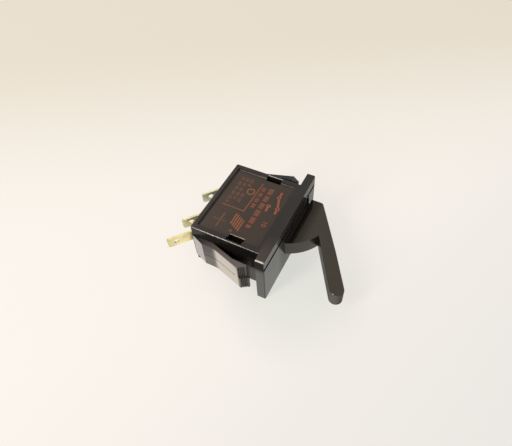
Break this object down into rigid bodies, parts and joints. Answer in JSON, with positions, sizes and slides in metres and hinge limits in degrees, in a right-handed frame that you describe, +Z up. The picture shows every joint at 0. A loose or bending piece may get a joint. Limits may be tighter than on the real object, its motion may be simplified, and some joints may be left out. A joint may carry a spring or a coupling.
{
  "type": "snap-in lever micro switch",
  "caption": "Snap-in panel micro switch with a sprung side lever, a changeover contact inside and flat bent terminals at the back.",
  "frame": {"origin": "middle of the flange's rear face, in the panel plane", "axes": "+X out of the panel towards the lever's side, +Y along the flange towards the pivot end, +Z up through the marked face"},
  "size_m": [0.0403, 0.0296, 0.0144],
  "materials": {
    "base_housing": "fine moulded black thermoplastic",
    "cover": "fine moulded black thermoplastic with a recessed marking field",
    "lever": "smooth moulded black thermoplastic",
    "drive_slider": "natural white acetal",
    "pivot_pin": "ground steel pin",
    "return_spring": "drawn spring wire",
    "snap_spring": "drawn spring wire",
    "common_terminal": "pale stamped brass",
    "open_terminal": "pale stamped brass",
    "closed_terminal": "pale stamped brass",
    "contact_blade": "beryllium copper strip",
    "anchor_bracket": "stamped brass",
    "anchor_rivet": "brass rivet",
    "open_contact": "silver contact alloy",
    "closed_contact": "silver contact alloy",
    "front_moving_contact": "silver contact alloy",
    "rear_moving_contact": "silver contact alloy"
  },
  "bodies": {
    "housing": {"base_housing": "base_housing", "cover": "cover", "pivot_pin": "pivot_pin", "return_spring": "return_spring", "snap_spring": "snap_spring", "common_terminal": "common_terminal", "open_terminal": "open_terminal", "closed_terminal": "closed_terminal", "open_contact": "open_contact", "closed_contact": "closed_contact", "anchor_bracket": "anchor_bracket", "anchor_rivet": "anchor_rivet"},
    "lever_arm": {"lever": "lever"},
    "slider": {"drive_slider": "drive_slider"},
    "blade": {"contact_blade": "contact_blade", "front_moving_contact": "front_moving_contact", "rear_moving_contact": "rear_moving_contact"}
  },
  "joints": [
    {"name": "lever_pivot", "type": "hinge", "parent": "housing", "child": "lever_arm", "pos_m": [-0.0019, 0.0072, 0], "axis": [0, 0, -1], "range_deg": [0, 25], "stiffness_Nm_per_rad": 0.02, "springref_deg": -0.57, "deforming": ["return_spring"]},
    {"name": "slider_travel", "type": "slide", "parent": "housing", "child": "slider", "axis": [-1, 0, 0], "range_m": [0, 0.000499]},
    {"name": "blade_hinge", "type": "hinge", "parent": "housing", "child": "blade", "pos_m": [-0.0076, 0.0059, 0], "axis": [0, 0, -1], "range_deg": [0, 5.88], "deforming": ["snap_spring"]}
  ],
  "couplings": [
    {"joint": "slider_travel", "follows": "lever_pivot", "m_per_rad": 0.001139},
    {"joint": "blade_hinge", "follows": "lever_pivot", "ratio": 0.23424}
  ]
}
